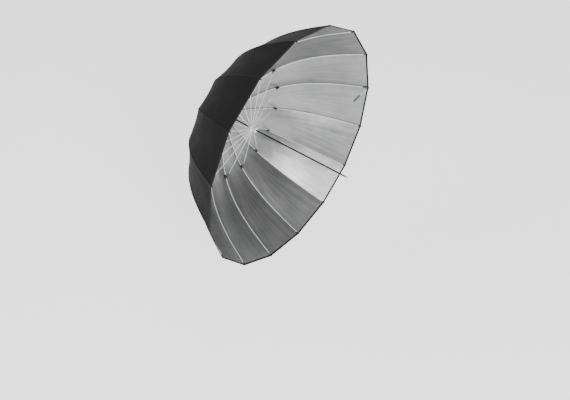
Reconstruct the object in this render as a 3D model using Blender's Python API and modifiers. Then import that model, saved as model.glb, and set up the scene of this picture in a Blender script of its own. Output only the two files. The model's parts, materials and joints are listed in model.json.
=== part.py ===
"""Deep umbrella reflector: a folding sixteen-rib canopy on a slim steel shaft.

The shaft lies along Y. The canopy opens towards -Y, its crown is at +Y, and the origin is
the place on the shaft where a holder grips it. Each rib and each stretcher is modelled once
in a flat working plane (X away from the shaft, Y along it, Z across) and set round the shaft.
"""
import math

import bmesh
import bpy
from mathutils import Matrix, Vector

# Overall sizes, in metres
RIB_COUNT = 16
RIB_ARC = 0.897             # along the bent rod, crown pivot to canopy hem
CLIP_ARC = 0.360            # along the bent rod, crown pivot to stretcher clip
CROWN_DROOP = math.radians(6.8)   # slope of the rods where they leave the crown
RIB_BEND = 2.26             # sharpest curvature of a rod, at its clip, in 1/m
RUNNER_DROP = 0.1955        # crown pivots to runner pivots, canopy open
END_AHEAD = 0.3145          # shaft end in front of the rim of the canopy
GRIP_TO_END = 0.100         # holder to shaft end

# Clearances
GAP = 0.0003                # between pieces that touch
RUN_GAP = 0.0003            # round the shaft, and each side of a blade in its slot
HINGE_GAP = 0.0003          # round a wire or pin in an eyelet
SPARE = 0.0001              # added where two curved surfaces pass at a slant
CUT_PAST = 0.0020           # how far a cutter runs past what it cuts

# Shaft
SHAFT_RADIUS = 0.0040
SHAFT_WALL = 0.0008
SHAFT_PAST_CROWN = 0.010
PLUG_LENGTH = 0.014
PLUG_SPIGOT = 0.012
PLUG_FLANGE = 0.0002        # how far the plug stands proud of the tube
PLUG_CHAMFER = 0.0010

# Rods, blades and their eyelets
RIB_RADIUS = 0.0020
STRETCHER_RADIUS = 0.0018
BLADE_THICKNESS = 0.0012
BLADE_HALF_WIDTH = 0.0014
BLADE_REACH = 0.0080        # pivot to the start of the round rod
BLADE_ROOT = 0.0050         # length of blade inside the rod
EYE_WALL = 0.0015
STRETCHER_BLADE_HALF_WIDTH = 0.0011
STRETCHER_EYE_HALF_WIDTH = 0.0010
STRETCHER_EYE_WALL = 0.0012
HINGE_WIRE_RADIUS = 0.0006

# Crown
CROWN_PIVOT_RADIUS = 0.0135
FLANGE_HALF_HEIGHT = 0.0040
FLANGE_LIP = 0.0020         # flange beyond the hinge wire
SLOT_FLOOR = 0.0032         # slot depth inwards from the pivot
CROWN_HUB_RADIUS = 0.0085
CROWN_HUB_DROP = 0.0100
CAP_RADIUS = 0.0230
CAP_THICKNESS = 0.0018
CAP_KNOB_RADIUS = 0.0075
CAP_KNOB_HEIGHT = 0.0038    # above the end of the shaft
CAP_KNOB_ROUNDING = 0.0020
CAP_RIM_THICKNESS = 0.0011
CROSS_PIN_RADIUS = 0.0008
STOP_PIN_PROUD = 0.0022     # stop pin beyond the tube on each side

# Runner
RUNNER_PIVOT_RADIUS = 0.0165
RUNNER_FLANGE_LIP = 0.0036
RUNNER_SLEEVE_RADIUS = 0.0110
RUNNER_SLEEVE_LENGTH = 0.0300
RUNNER_GRIP_RADIUS = 0.0145
RUNNER_GRIP_LENGTH = 0.0070
RUNNER_GRIP_CHAMFER = 0.0015

# Rib clip, where the stretcher is pinned
CLIP_RADIUS = 0.0040
CLIP_HALF_LENGTH = 0.0120
EAR_DROP = 0.0062           # rod centre to clip pin
EAR_THICKNESS = 0.0024
EAR_RADIUS = 0.0034
EAR_HALF_WIDTH = 0.0032
CLIP_PIN_RADIUS = 0.0010
CLIP_PIN_HEAD = 0.0007      # height of the pin's head, and how far it overhangs the pin
LOOSE_EYE_GAP = 0.0005      # round the clip pin, the pivot that is left open
STRETCHER_EYE_THICKNESS = 0.0020
STRETCHER_SLEEVE_RADIUS = 0.0024
STRETCHER_SLEEVE_LENGTH = 0.0160

# Rod tips
TIP_RADIUS = 0.0027
TIP_LENGTH = 0.0220
TIP_PROUD = 0.0050          # rod tip beyond the hem
TIP_CAP_RADIUS = 0.0040
TIP_CAP_LENGTH = 0.0090

# Canopy
CANOPY_THICKNESS = 0.0006
CANOPY_START_ARC = 0.0090   # inner edge of the cloth, along the rod
CANOPY_SEAM_GAP = 0.0004    # between neighbouring panels
CANOPY_SAG = 0.0043         # how far a gore is drawn inwards at its middle
INNER_STATIONS = 4
OUTER_STATIONS = 5

# Catch in the shaft, below the open runner
CATCH_NOSE_LENGTH = 0.0060
CATCH_NOSE_HEIGHT = 0.0024  # above the tube
CATCH_WIDTH = 0.0020
CATCH_THICKNESS = 0.0008
CATCH_NOSE_FLAT = 0.0015    # top of the nose, under the runner
CATCH_ARM = 0.0360          # hinge pin to nose
CATCH_ARM_HEIGHT = 0.0010   # arm's middle above the shaft's middle
CATCH_PIN_RADIUS = 0.0006
CATCH_EYE_RADIUS = 0.0014

# Closure strap, sewn to the hem beside the first rib
STRAP_WIDTH = 0.020
STRAP_THICKNESS = 0.0012
STRAP_LIFT = 0.0012         # below the cloth
STRAP_FROM_HEM = 0.0130     # sewn end, inwards from the hem along the rib
STRAP_TO_HEM = 0.0710
STRAP_FROM_ACROSS = 0.014
STRAP_TO_ACROSS = 0.105
STRAP_STEPS = 4

# Sizes that follow from the ones above
HALF_GORE = math.pi / RIB_COUNT
CANOPY_LIFT = max(CLIP_RADIUS, TIP_CAP_RADIUS) + GAP + 2 * SPARE
LAP = CLIP_RADIUS + STRETCHER_SLEEVE_RADIUS + GAP + SPARE   # rib plane to stretcher plane
BORE_RADIUS = SHAFT_RADIUS + RUN_GAP
SLOT_WIDTH = BLADE_THICKNESS + 2 * RUN_GAP
GROOVE_HALF_WIDTH = HINGE_WIRE_RADIUS + HINGE_GAP


def rib_slope(arc):
    """Slope of a bent rod below square to the shaft; its curvature peaks at the clip."""
    if arc <= CLIP_ARC:
        return CROWN_DROOP + RIB_BEND * arc ** 2 / (2 * CLIP_ARC)
    outer = RIB_ARC - CLIP_ARC
    left = RIB_ARC - arc
    return CROWN_DROOP + RIB_BEND * (RIB_ARC - left * abs(left) / outer) / 2


def rib_place(arc, lift=0.0, steps=240):
    """Point beside the rod at this arc, from the crown pivot: X outwards, Y along the shaft."""
    x = y = 0.0
    step = arc / steps
    for i in range(steps):
        slope = rib_slope((i + 0.5) * step)
        x += math.cos(slope) * step
        y -= math.sin(slope) * step
    slope = rib_slope(arc)
    return Vector((x + lift * math.sin(slope), y + lift * math.cos(slope), 0.0))


RIM_Y = END_AHEAD - GRIP_TO_END
CROWN_Y = RIM_Y - rib_place(RIB_ARC).y
RUNNER_Y = CROWN_Y - RUNNER_DROP
RUNNER_BOTTOM_Y = RUNNER_Y - FLANGE_HALF_HEIGHT - RUNNER_SLEEVE_LENGTH
TUBE_END_Y = -GRIP_TO_END + PLUG_LENGTH
TUBE_TOP_Y = CROWN_Y + SHAFT_PAST_CROWN
CLIP_PIN = rib_place(CLIP_ARC, -EAR_DROP)
STRETCH = Vector((CROWN_PIVOT_RADIUS + CLIP_PIN.x - RUNNER_PIVOT_RADIUS, RUNNER_DROP + CLIP_PIN.y, 0.0))


# ---- Helpers ----

def new_collection(name):
    group = bpy.data.collections.new(name)
    bpy.context.scene.collection.children.link(group)
    return group


def new_material(name, colour, roughness, metallic=0.0):
    made = bpy.data.materials.new(name)
    made.use_nodes = True
    shader = made.node_tree.nodes["Principled BSDF"]
    shader.inputs["Base Color"].default_value = (*colour, 1.0)
    shader.inputs["Roughness"].default_value = roughness
    shader.inputs["Metallic"].default_value = metallic
    made.diffuse_color = (*colour, 1.0)
    return made


def add_part(name, mesh, material, matrix=Matrix()):
    """One named sub-part; copies of a shape share one mesh."""
    part = bpy.data.objects.new(name, mesh)
    if not mesh.materials:
        mesh.materials.append(material)
    part.matrix_world = matrix
    PARTS.objects.link(part)
    return part


def add_cutter(name, mesh, matrix=Matrix()):
    cutter = bpy.data.objects.new(name, mesh)
    cutter.hide_render = True
    cutter.display_type = "WIRE"
    cutter.matrix_world = matrix
    CUTTERS.objects.link(cutter)
    return cutter


def mesh_from(bm, name):
    mesh = bpy.data.meshes.new(name)
    bm.to_mesh(mesh)
    bm.free()
    return mesh


def settled_mesh(part, name):
    """The shape of an object with its modifiers, welded and facing out, and the object removed."""
    bpy.context.view_layer.update()
    shape = bpy.data.meshes.new_from_object(part.evaluated_get(bpy.context.evaluated_depsgraph_get()))
    bm = bmesh.new()
    bm.from_mesh(shape)
    bmesh.ops.remove_doubles(bm, verts=bm.verts, dist=1e-6)
    bmesh.ops.recalc_face_normals(bm, faces=bm.faces)
    bpy.data.objects.remove(part)
    return mesh_from(bm, name)


def boolean(part, cutter, operation):
    modifier = part.modifiers.new(cutter.name, "BOOLEAN")
    modifier.object = cutter
    modifier.operation = operation
    modifier.solver = "EXACT"


def joined_mesh(name, meshes):
    """Boolean union of closed meshes that share one working plane."""
    base = add_cutter(name, meshes[0])
    tools = [add_cutter(f"{name}_piece", mesh) for mesh in meshes[1:]]
    for tool in tools:
        boolean(base, tool, "UNION")
    shape = settled_mesh(base, name)
    for tool in tools:
        bpy.data.objects.remove(tool)
    return shape


def turned_mesh(name, profile, steps, closed=True):
    """Turned shape about local Z from (radius, height) points that run down the outer side."""
    mesh = bpy.data.meshes.new(name)
    edges = [(i, i + 1) for i in range(len(profile) - 1)]
    if closed:
        edges.append((len(profile) - 1, 0))
    mesh.from_pydata([(radius, 0.0, height) for radius, height in profile], edges, [])
    blank = add_cutter(name, mesh)
    screw = blank.modifiers.new("turn", "SCREW")
    screw.steps = steps
    screw.render_steps = steps
    screw.use_merge_vertices = True
    screw.merge_threshold = 0.00001
    return settled_mesh(blank, name)


def along_shaft(height=0.0):
    """Lays a shape turned about local Z along the shaft, local zero at this Y."""
    return Matrix.Translation((0.0, height, 0.0)) @ Matrix.Rotation(-math.pi / 2, 4, "X")


def cylinder_mesh(name, start, end, radius, sides=12):
    """Round bar between two points."""
    run = Vector(end) - Vector(start)
    turn = run.to_track_quat("Z", "Y").to_matrix().to_4x4()
    bm = bmesh.new()
    bmesh.ops.create_cone(
        bm, cap_ends=True, segments=sides, radius1=radius, radius2=radius, depth=run.length,
        matrix=Matrix.Translation((Vector(start) + Vector(end)) / 2) @ turn)
    return mesh_from(bm, name)


def wire_mesh(name, points, radius, resolution):
    """Round rod through points, as a bevelled curve made into a mesh."""
    curve = bpy.data.curves.new(name, "CURVE")
    curve.dimensions = "3D"
    curve.bevel_depth = radius
    curve.bevel_resolution = resolution
    curve.use_fill_caps = True
    spline = curve.splines.new("POLY")
    spline.points.add(len(points) - 1)
    for place, point in zip(spline.points, points):
        place.co = (*point, 1.0)
    rod = bpy.data.objects.new(name, curve)
    CUTTERS.objects.link(rod)
    return settled_mesh(rod, name)


def plate_mesh(name, outlines, thickness):
    """Flat plate in the working plane from closed outlines; an inner outline is a hole."""
    curve = bpy.data.curves.new(name, "CURVE")
    curve.dimensions = "2D"
    curve.fill_mode = "BOTH"
    curve.extrude = thickness / 2
    for outline in outlines:
        spline = curve.splines.new("POLY")
        spline.points.add(len(outline) - 1)
        spline.use_cyclic_u = True
        for place, (x, y) in zip(spline.points, outline):
            place.co = (x, y, 0.0, 1.0)
    plate = bpy.data.objects.new(name, curve)
    CUTTERS.objects.link(plate)
    return settled_mesh(plate, name)


def circle(radius, sides, centre=(0.0, 0.0)):
    """Polygon round a circle, its flats touching it."""
    corner = radius / math.cos(math.pi / sides)
    turns = [2 * math.pi * i / sides for i in range(sides)]
    return [(centre[0] + corner * math.cos(a), centre[1] + corner * math.sin(a)) for a in turns]


def eye_outline(centre, heading, length, half_width, radius, sides=8):
    """Round eye at centre with a straight tail of this length along heading."""
    start = math.asin(half_width / radius)
    sweep = 2 * math.pi - 2 * start
    points = []
    for i in range(sides + 1):
        angle = heading + start + sweep * i / sides
        points.append((centre[0] + radius * math.cos(angle), centre[1] + radius * math.sin(angle)))
    along = Vector((math.cos(heading), math.sin(heading)))
    across = Vector((-along.y, along.x))
    for side in (-1, 1):
        corner = Vector(centre[:2]) + along * length + across * half_width * side
        points.append((corner.x, corner.y))
    return points


def round_shaft(index, place=(0.0, 0.0, 0.0)):
    """Place of a piece of rib number index: its working plane turned about the shaft."""
    return Matrix.Rotation(-2 * math.pi * index / RIB_COUNT, 4, "Y") @ Matrix.Translation(place)


def slot_cutter(name, across, floor, reach, middle):
    """Radial slots for the blades, each this far to one side of its rib's plane."""
    bm = bmesh.new()
    height = 2 * FLANGE_HALF_HEIGHT + 2 * CUT_PAST
    size = Matrix.Diagonal((reach - floor, height, SLOT_WIDTH, 1.0))
    for index in range(RIB_COUNT):
        place = ((reach + floor) / 2, middle, across)
        bmesh.ops.create_cube(bm, size=1.0, matrix=round_shaft(index, place) @ size)
    return add_cutter(name, mesh_from(bm, name))


def pin_cutter(name, start, end, radius):
    """Hole for a cross pin, cut past both its ends."""
    past = (Vector(end) - Vector(start)).normalized() * CUT_PAST
    return add_cutter(name, cylinder_mesh(name, Vector(start) - past, Vector(end) + past, radius + GAP))


# ---- Shaft and what is fixed to it ----

def make_shaft(material, plastic):
    """Thin tube from the crown to the grip, with a plug in its open end."""
    tube = turned_mesh("shaft_tube", [
        (SHAFT_RADIUS, TUBE_TOP_Y), (SHAFT_RADIUS, TUBE_END_Y + GAP),
        (SHAFT_RADIUS - SHAFT_WALL, TUBE_END_Y + GAP), (SHAFT_RADIUS - SHAFT_WALL, TUBE_TOP_Y)], 24)
    shaft = add_part("shaft_tube", tube, material, along_shaft())
    spigot = SHAFT_RADIUS - SHAFT_WALL - GAP
    plug = turned_mesh("shaft_end_plug", [
        (0.0, TUBE_END_Y + PLUG_SPIGOT), (spigot, TUBE_END_Y + PLUG_SPIGOT), (spigot, TUBE_END_Y),
        (SHAFT_RADIUS + PLUG_FLANGE, TUBE_END_Y), (SHAFT_RADIUS + PLUG_FLANGE, -GRIP_TO_END + PLUG_CHAMFER),
        (SHAFT_RADIUS - SHAFT_WALL, -GRIP_TO_END), (0.0, -GRIP_TO_END)], 24, closed=False)
    add_part("shaft_end_plug", plug, plastic, along_shaft())
    return shaft


def make_cross_pins(shaft, notch, steel):
    """Pin that holds the crown, and the pin that the open runner stops against."""
    crown_pin_y = CROWN_Y - (FLANGE_HALF_HEIGHT + CROWN_HUB_DROP) / 2
    reach = CROWN_HUB_RADIUS - GAP
    ends = (-reach, crown_pin_y, 0.0), (reach, crown_pin_y, 0.0)
    add_part("crown_pin", cylinder_mesh("crown_pin", *ends, CROSS_PIN_RADIUS, 10), steel)
    hole = pin_cutter("crown_pin_hole", *ends, CROSS_PIN_RADIUS)
    boolean(shaft, hole, "DIFFERENCE")
    boolean(notch, hole, "DIFFERENCE")
    stop_y = RUNNER_Y + FLANGE_HALF_HEIGHT + GAP + CROSS_PIN_RADIUS
    reach = SHAFT_RADIUS + STOP_PIN_PROUD
    ends = (-reach, stop_y, 0.0), (reach, stop_y, 0.0)
    add_part("runner_stop_pin", cylinder_mesh("runner_stop_pin", *ends, CROSS_PIN_RADIUS, 10), steel)
    boolean(shaft, pin_cutter("stop_pin_hole", *ends, CROSS_PIN_RADIUS), "DIFFERENCE")


def make_crown(plastic, steel, cap_material):
    """Slotted notch that the ribs hinge in, its wire, and the cap over the cloth."""
    rim = CROWN_PIVOT_RADIUS + FLANGE_LIP
    groove = CROWN_PIVOT_RADIUS - HINGE_WIRE_RADIUS - HINGE_GAP
    notch = add_part("crown_notch", turned_mesh("crown_notch", [
        (BORE_RADIUS, FLANGE_HALF_HEIGHT), (rim, FLANGE_HALF_HEIGHT), (rim, GROOVE_HALF_WIDTH),
        (groove, GROOVE_HALF_WIDTH), (groove, -GROOVE_HALF_WIDTH), (rim, -GROOVE_HALF_WIDTH),
        (rim, -FLANGE_HALF_HEIGHT), (CROWN_HUB_RADIUS, -FLANGE_HALF_HEIGHT),
        (CROWN_HUB_RADIUS, -CROWN_HUB_DROP), (BORE_RADIUS, -CROWN_HUB_DROP)], 24),
        plastic, along_shaft(CROWN_Y))
    floor = CROWN_PIVOT_RADIUS - SLOT_FLOOR
    boolean(notch, slot_cutter("crown_slots", 0.0, floor, rim + CUT_PAST, CROWN_Y), "DIFFERENCE")
    add_hinge_wire("crown_wire", CROWN_PIVOT_RADIUS, CROWN_Y, 0.0, steel)
    under = FLANGE_HALF_HEIGHT + GAP
    edge = CANOPY_LIFT + CANOPY_THICKNESS + GAP - (CAP_RADIUS - rim) * math.tan(CROWN_DROOP)
    top = under + CAP_THICKNESS
    bore_top = SHAFT_PAST_CROWN + GAP
    knob = max(CAP_KNOB_RADIUS, BORE_RADIUS + CAP_THICKNESS)
    knob_top = bore_top + CAP_KNOB_HEIGHT
    add_part("crown_cap", turned_mesh("crown_cap", [
        (0.0, knob_top), (knob - CAP_KNOB_ROUNDING, knob_top), (knob, knob_top - CAP_KNOB_ROUNDING),
        (knob, top), (rim, top), (CAP_RADIUS, edge + CAP_RIM_THICKNESS), (CAP_RADIUS, edge),
        (rim + GAP, under), (BORE_RADIUS, under), (BORE_RADIUS, bore_top),
        (0.0, bore_top)], 24, closed=False),
        cap_material, along_shaft(CROWN_Y))
    return notch


def add_hinge_wire(name, radius, height, turn, steel):
    """Ring that threads the eyelets; a corner of the ring lies in each eyelet."""
    bpy.ops.mesh.primitive_torus_add(
        major_segments=2 * RIB_COUNT, minor_segments=4, major_radius=radius, minor_radius=HINGE_WIRE_RADIUS)
    ring = bpy.context.object
    mesh = ring.data
    bpy.data.objects.remove(ring)
    mesh.name = name
    add_part(name, mesh, steel, along_shaft(height) @ Matrix.Rotation(-turn, 4, "Z"))


def make_runner(plastic, steel):
    """Sliding runner, its slots set to one side so that stretchers pass beside their ribs."""
    wire = math.hypot(RUNNER_PIVOT_RADIUS, LAP)
    rim = wire + RUNNER_FLANGE_LIP
    groove = wire - HINGE_WIRE_RADIUS - HINGE_GAP
    bottom = -FLANGE_HALF_HEIGHT - RUNNER_SLEEVE_LENGTH
    grip = bottom + RUNNER_GRIP_LENGTH
    runner = add_part("runner", turned_mesh("runner", [
        (BORE_RADIUS, FLANGE_HALF_HEIGHT), (rim, FLANGE_HALF_HEIGHT), (rim, GROOVE_HALF_WIDTH),
        (groove, GROOVE_HALF_WIDTH), (groove, -GROOVE_HALF_WIDTH), (rim, -GROOVE_HALF_WIDTH),
        (rim, -FLANGE_HALF_HEIGHT), (RUNNER_SLEEVE_RADIUS, -FLANGE_HALF_HEIGHT),
        (RUNNER_SLEEVE_RADIUS, grip), (RUNNER_GRIP_RADIUS, grip - RUNNER_GRIP_CHAMFER),
        (RUNNER_GRIP_RADIUS, bottom), (BORE_RADIUS, bottom)], 24), plastic, along_shaft(RUNNER_Y))
    floor = RUNNER_PIVOT_RADIUS - SLOT_FLOOR
    boolean(runner, slot_cutter("runner_slots", LAP, floor, rim + CUT_PAST, RUNNER_Y), "DIFFERENCE")
    add_hinge_wire("runner_wire", wire, RUNNER_Y, math.atan2(LAP, RUNNER_PIVOT_RADIUS), steel)


def make_catch(shaft, steel):
    """Sprung steel lever inside the tube, its nose out of a slot under the open runner."""
    nose_top = SHAFT_RADIUS + CATCH_NOSE_HEIGHT
    nose_end = RUNNER_BOTTOM_Y - GAP
    nose_start = nose_end - CATCH_NOSE_LENGTH
    hinge_y = nose_start - CATCH_ARM
    low = CATCH_ARM_HEIGHT - CATCH_THICKNESS / 2
    high = CATCH_ARM_HEIGHT + CATCH_THICKNESS / 2
    arm = eye_outline((hinge_y, CATCH_ARM_HEIGHT), 0.0, CATCH_ARM, CATCH_THICKNESS / 2, CATCH_EYE_RADIUS)
    arm[-2:] = [(nose_end, low), (nose_end, nose_top), (nose_end - CATCH_NOSE_FLAT, nose_top),
                (nose_start, SHAFT_RADIUS - SHAFT_WALL), (nose_start, high)]
    hole = circle(CATCH_PIN_RADIUS + HINGE_GAP, 8, (hinge_y, CATCH_ARM_HEIGHT))
    upright = Matrix(((0, 0, 1, 0), (1, 0, 0, 0), (0, 1, 0, 0), (0, 0, 0, 1)))
    hinge = Matrix.Translation((0.0, hinge_y, CATCH_ARM_HEIGHT))
    mesh = plate_mesh("catch_lever", [arm, hole], CATCH_WIDTH)
    mesh.transform(hinge.inverted() @ upright)
    add_part("catch_lever", mesh, steel, hinge)
    reach = math.sqrt(SHAFT_RADIUS ** 2 - CATCH_ARM_HEIGHT ** 2) - GAP
    ends = (-reach, hinge_y, CATCH_ARM_HEIGHT), (reach, hinge_y, CATCH_ARM_HEIGHT)
    add_part("catch_pin", cylinder_mesh("catch_pin", *ends, CATCH_PIN_RADIUS, 8), steel)
    boolean(shaft, pin_cutter("catch_pin_hole", *ends, CATCH_PIN_RADIUS), "DIFFERENCE")
    bm = bmesh.new()
    size = (CATCH_WIDTH + 2 * RUN_GAP, CATCH_NOSE_LENGTH + 4 * RUN_GAP, 2 * SHAFT_WALL)
    middle = (0.0, (nose_start + nose_end) / 2, SHAFT_RADIUS - SHAFT_WALL / 2)
    bmesh.ops.create_cube(bm, size=1.0, matrix=Matrix.Translation(middle) @ Matrix.Diagonal((*size, 1.0)))
    boolean(shaft, add_cutter("catch_slot", mesh_from(bm, "catch_slot")), "DIFFERENCE")


# ---- Ribs, stretchers and canopy ----

def rib_stations(start=0.0):
    """Arcs along a rod, closer together beside the clip, so that rod and cloth bend alike."""
    inner_end = CLIP_ARC - CLIP_HALF_LENGTH
    outer_start = CLIP_ARC + CLIP_HALF_LENGTH
    outer_end = RIB_ARC - TIP_LENGTH
    arcs = [start + (inner_end - start) * i / INNER_STATIONS for i in range(INNER_STATIONS + 1)]
    arcs.append(CLIP_ARC)
    run = outer_end - outer_start
    arcs += [outer_start + run * i / OUTER_STATIONS for i in range(OUTER_STATIONS + 1)]
    arcs.append(RIB_ARC)
    return arcs


def rib_mesh():
    """Bent rod with its crown blade, clip, clip pin and tip sleeve, from the crown pivot."""
    path = [rib_place(arc) for arc in [BLADE_REACH] + rib_stations(CANOPY_START_ARC)[1:]]
    path.append(rib_place(RIB_ARC + TIP_PROUD))
    rod = wire_mesh("rib_rod", path, RIB_RADIUS, 1)
    eye = HINGE_WIRE_RADIUS + HINGE_GAP
    blade = plate_mesh("rib_blade", [
        eye_outline((0.0, 0.0), -CROWN_DROOP, BLADE_REACH + BLADE_ROOT, BLADE_HALF_WIDTH, eye + EYE_WALL),
        circle(eye, 8)], BLADE_THICKNESS)
    along = Vector((math.cos(rib_slope(CLIP_ARC)), -math.sin(rib_slope(CLIP_ARC)), 0.0))
    middle = rib_place(CLIP_ARC)
    sleeve = cylinder_mesh(
        "rib_clip", middle - along * CLIP_HALF_LENGTH, middle + along * CLIP_HALF_LENGTH, CLIP_RADIUS, 8)
    up = middle - CLIP_PIN
    ear = plate_mesh("rib_ear", [eye_outline(
        CLIP_PIN, math.atan2(up.y, up.x), EAR_DROP, EAR_HALF_WIDTH, EAR_RADIUS)], EAR_THICKNESS)
    eye_top = LAP + STRETCHER_EYE_THICKNESS / 2 + GAP
    across = Vector((0.0, 0.0, 1.0))
    pin = cylinder_mesh(
        "rib_pin", CLIP_PIN, CLIP_PIN + across * (eye_top + CLIP_PIN_HEAD / 2), CLIP_PIN_RADIUS, 8)
    head = cylinder_mesh(
        "rib_pin_head", CLIP_PIN + across * eye_top, CLIP_PIN + across * (eye_top + CLIP_PIN_HEAD),
        CLIP_PIN_RADIUS + LOOSE_EYE_GAP + CLIP_PIN_HEAD, 8)
    tip_start = rib_place(RIB_ARC - TIP_LENGTH)
    tip_end = rib_place(RIB_ARC + TIP_PROUD)
    tip = cylinder_mesh("rib_tip", tip_start, tip_end, TIP_RADIUS, 8)
    cap_start = tip_end + (tip_start - tip_end).normalized() * TIP_CAP_LENGTH
    past_end = tip_end + (tip_end - tip_start).normalized() * GAP
    cap = cylinder_mesh("rib_tip_cap", cap_start, past_end, TIP_CAP_RADIUS, 8)
    return joined_mesh("rib", [rod, blade, sleeve, ear, pin, head, tip, cap])


def stretcher_mesh():
    """Straight rod with a blade at the runner and a flat eye at the rib clip."""
    along = STRETCH.normalized()
    heading = math.atan2(along.y, along.x)
    tilt = math.atan2(LAP, RUNNER_PIVOT_RADIUS)
    hole = HINGE_WIRE_RADIUS / math.cos(tilt) + BLADE_THICKNESS / 2 * math.tan(tilt) + HINGE_GAP
    rod_end = STRETCH - along * BLADE_REACH
    rod = cylinder_mesh("stretcher_rod", along * BLADE_REACH, rod_end, STRETCHER_RADIUS, 8)
    sleeve_start = rod_end - along * STRETCHER_SLEEVE_LENGTH
    sleeve_end = rod_end + along * GAP
    sleeve = cylinder_mesh("stretcher_sleeve", sleeve_start, sleeve_end, STRETCHER_SLEEVE_RADIUS, 8)
    blade = plate_mesh("stretcher_blade", [
        eye_outline((0.0, 0.0), heading, BLADE_REACH + BLADE_ROOT, STRETCHER_BLADE_HALF_WIDTH,
                    hole + EYE_WALL),
        circle(hole, 8)], BLADE_THICKNESS)
    loose = CLIP_PIN_RADIUS + LOOSE_EYE_GAP
    eye = plate_mesh("stretcher_eye", [
        eye_outline(STRETCH, heading + math.pi, BLADE_REACH + BLADE_ROOT, STRETCHER_EYE_HALF_WIDTH,
                    loose + STRETCHER_EYE_WALL),
        circle(loose, 8, STRETCH[:2])], STRETCHER_EYE_THICKNESS)
    return joined_mesh("stretcher", [rod, sleeve, blade, eye])


def canopy_point(arc, side, lift=CANOPY_LIFT):
    """Cloth from the crown pivot: side 0 over the rib, side -1 or 1 halfway to its neighbour."""
    place = rib_place(arc, lift)
    if side == 0:
        return place
    sag = CANOPY_SAG * math.sin(math.pi * arc / RIB_ARC)
    slope = rib_slope(arc)
    reach = (place.x + CROWN_PIVOT_RADIUS) * math.cos(HALF_GORE) - sag * math.sin(slope)
    edge = reach * math.sin(HALF_GORE) - CANOPY_SEAM_GAP / 2
    return Vector((
        reach * math.cos(HALF_GORE) - CROWN_PIVOT_RADIUS, place.y - sag * math.cos(slope), side * edge))


def add_strip(name, rows, columns, place_of):
    """Open surface of rows by columns quads, each corner placed by place_of(row, column)."""
    bm = bmesh.new()
    bmesh.ops.create_grid(bm, x_segments=rows, y_segments=columns, size=1.0)
    for vert in bm.verts:
        row = round((vert.co.x + 1) / 2 * rows)
        column = round((vert.co.y + 1) / 2 * columns)
        vert.co = place_of(row, column)
    bm.normal_update()
    if sum(face.normal.y for face in bm.faces) < 0:
        bmesh.ops.reverse_faces(bm, faces=bm.faces)
    return mesh_from(bm, name)


def solidify(part, thickness):
    shell = part.modifiers.new("cloth", "SOLIDIFY")
    shell.thickness = thickness
    shell.offset = 1.0
    shell.use_even_offset = True


def canopy_mesh():
    """Panel over one rib, out to halfway between it and each of its neighbours."""
    arcs = rib_stations(CANOPY_START_ARC)
    rows = len(arcs) - 1
    return add_strip("canopy_panel", rows, 2, lambda row, column: canopy_point(arcs[row], column - 1))


def strap_point(row, column):
    """Strap on the inner face of the first panel, on its -Z half."""
    share = row / STRAP_STEPS
    arc = RIB_ARC - STRAP_FROM_HEM - (STRAP_TO_HEM - STRAP_FROM_HEM) * share
    across = STRAP_FROM_ACROSS + (STRAP_TO_ACROSS - STRAP_FROM_ACROSS) * share
    run = Vector((STRAP_FROM_HEM - STRAP_TO_HEM, STRAP_TO_ACROSS - STRAP_FROM_ACROSS)).normalized()
    arc += run.y * STRAP_WIDTH * (column - 0.5)
    across -= run.x * STRAP_WIDTH * (column - 0.5)
    below = CANOPY_LIFT - STRAP_LIFT - STRAP_THICKNESS
    middle = canopy_point(arc, 0, below)
    edge = canopy_point(arc, -1, below)
    return middle.lerp(edge, across / -edge.z)


def make_ribs(rod, white, cloth, strap_cloth):
    """Ribs, stretchers and canopy panels round the shaft, and the strap on the first panel."""
    rib = rib_mesh()
    stretcher = stretcher_mesh()
    panel = canopy_mesh()
    for index in range(RIB_COUNT):
        number = f"{index + 1:02d}"
        crown_hinge = round_shaft(index, (CROWN_PIVOT_RADIUS, CROWN_Y, 0.0))
        runner_hinge = round_shaft(index, (RUNNER_PIVOT_RADIUS, RUNNER_Y, LAP))
        add_part(f"rib_{number}", rib, rod, crown_hinge)
        add_part(f"stretcher_{number}", stretcher, white, runner_hinge)
        solidify(add_part(f"canopy_panel_{number}", panel, cloth, crown_hinge), CANOPY_THICKNESS)
        if index == 0:
            strap = add_strip("closure_strap", STRAP_STEPS, 1, strap_point)
            solidify(add_part("closure_strap", strap, strap_cloth, crown_hinge), STRAP_THICKNESS)


for old in list(bpy.data.objects):
    bpy.data.objects.remove(old)
PARTS = new_collection("umbrella_reflector")
CUTTERS = new_collection("cutters")
BLACK_STEEL = new_material("shaft_black", (0.03, 0.03, 0.032), 0.35, 0.6)
STEEL = new_material("steel", (0.55, 0.56, 0.58), 0.3, 1.0)
GREY_PLASTIC = new_material("grey_plastic", (0.35, 0.36, 0.37), 0.5)
PALE_PLASTIC = new_material("pale_plastic", (0.8, 0.8, 0.79), 0.4)
BLACK_PLASTIC = new_material("black_plastic", (0.02, 0.02, 0.02), 0.45)
ROD_WHITE = new_material("rod_white", (0.85, 0.85, 0.83), 0.35)
STRETCHER_WHITE = new_material("stretcher_white", (0.86, 0.87, 0.88), 0.3)
CANOPY_CLOTH = new_material("canopy_cloth", (0.03, 0.03, 0.032), 0.8)
STRAP_CLOTH = new_material("strap_cloth", (0.05, 0.055, 0.06), 0.8)

SHAFT = make_shaft(BLACK_STEEL, GREY_PLASTIC)
NOTCH = make_crown(PALE_PLASTIC, STEEL, BLACK_PLASTIC)
make_cross_pins(SHAFT, NOTCH, STEEL)
make_runner(PALE_PLASTIC, STEEL)
make_catch(SHAFT, STEEL)
make_ribs(ROD_WHITE, STRETCHER_WHITE, CANOPY_CLOTH, STRAP_CLOTH)
bpy.context.view_layer.update()
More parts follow.
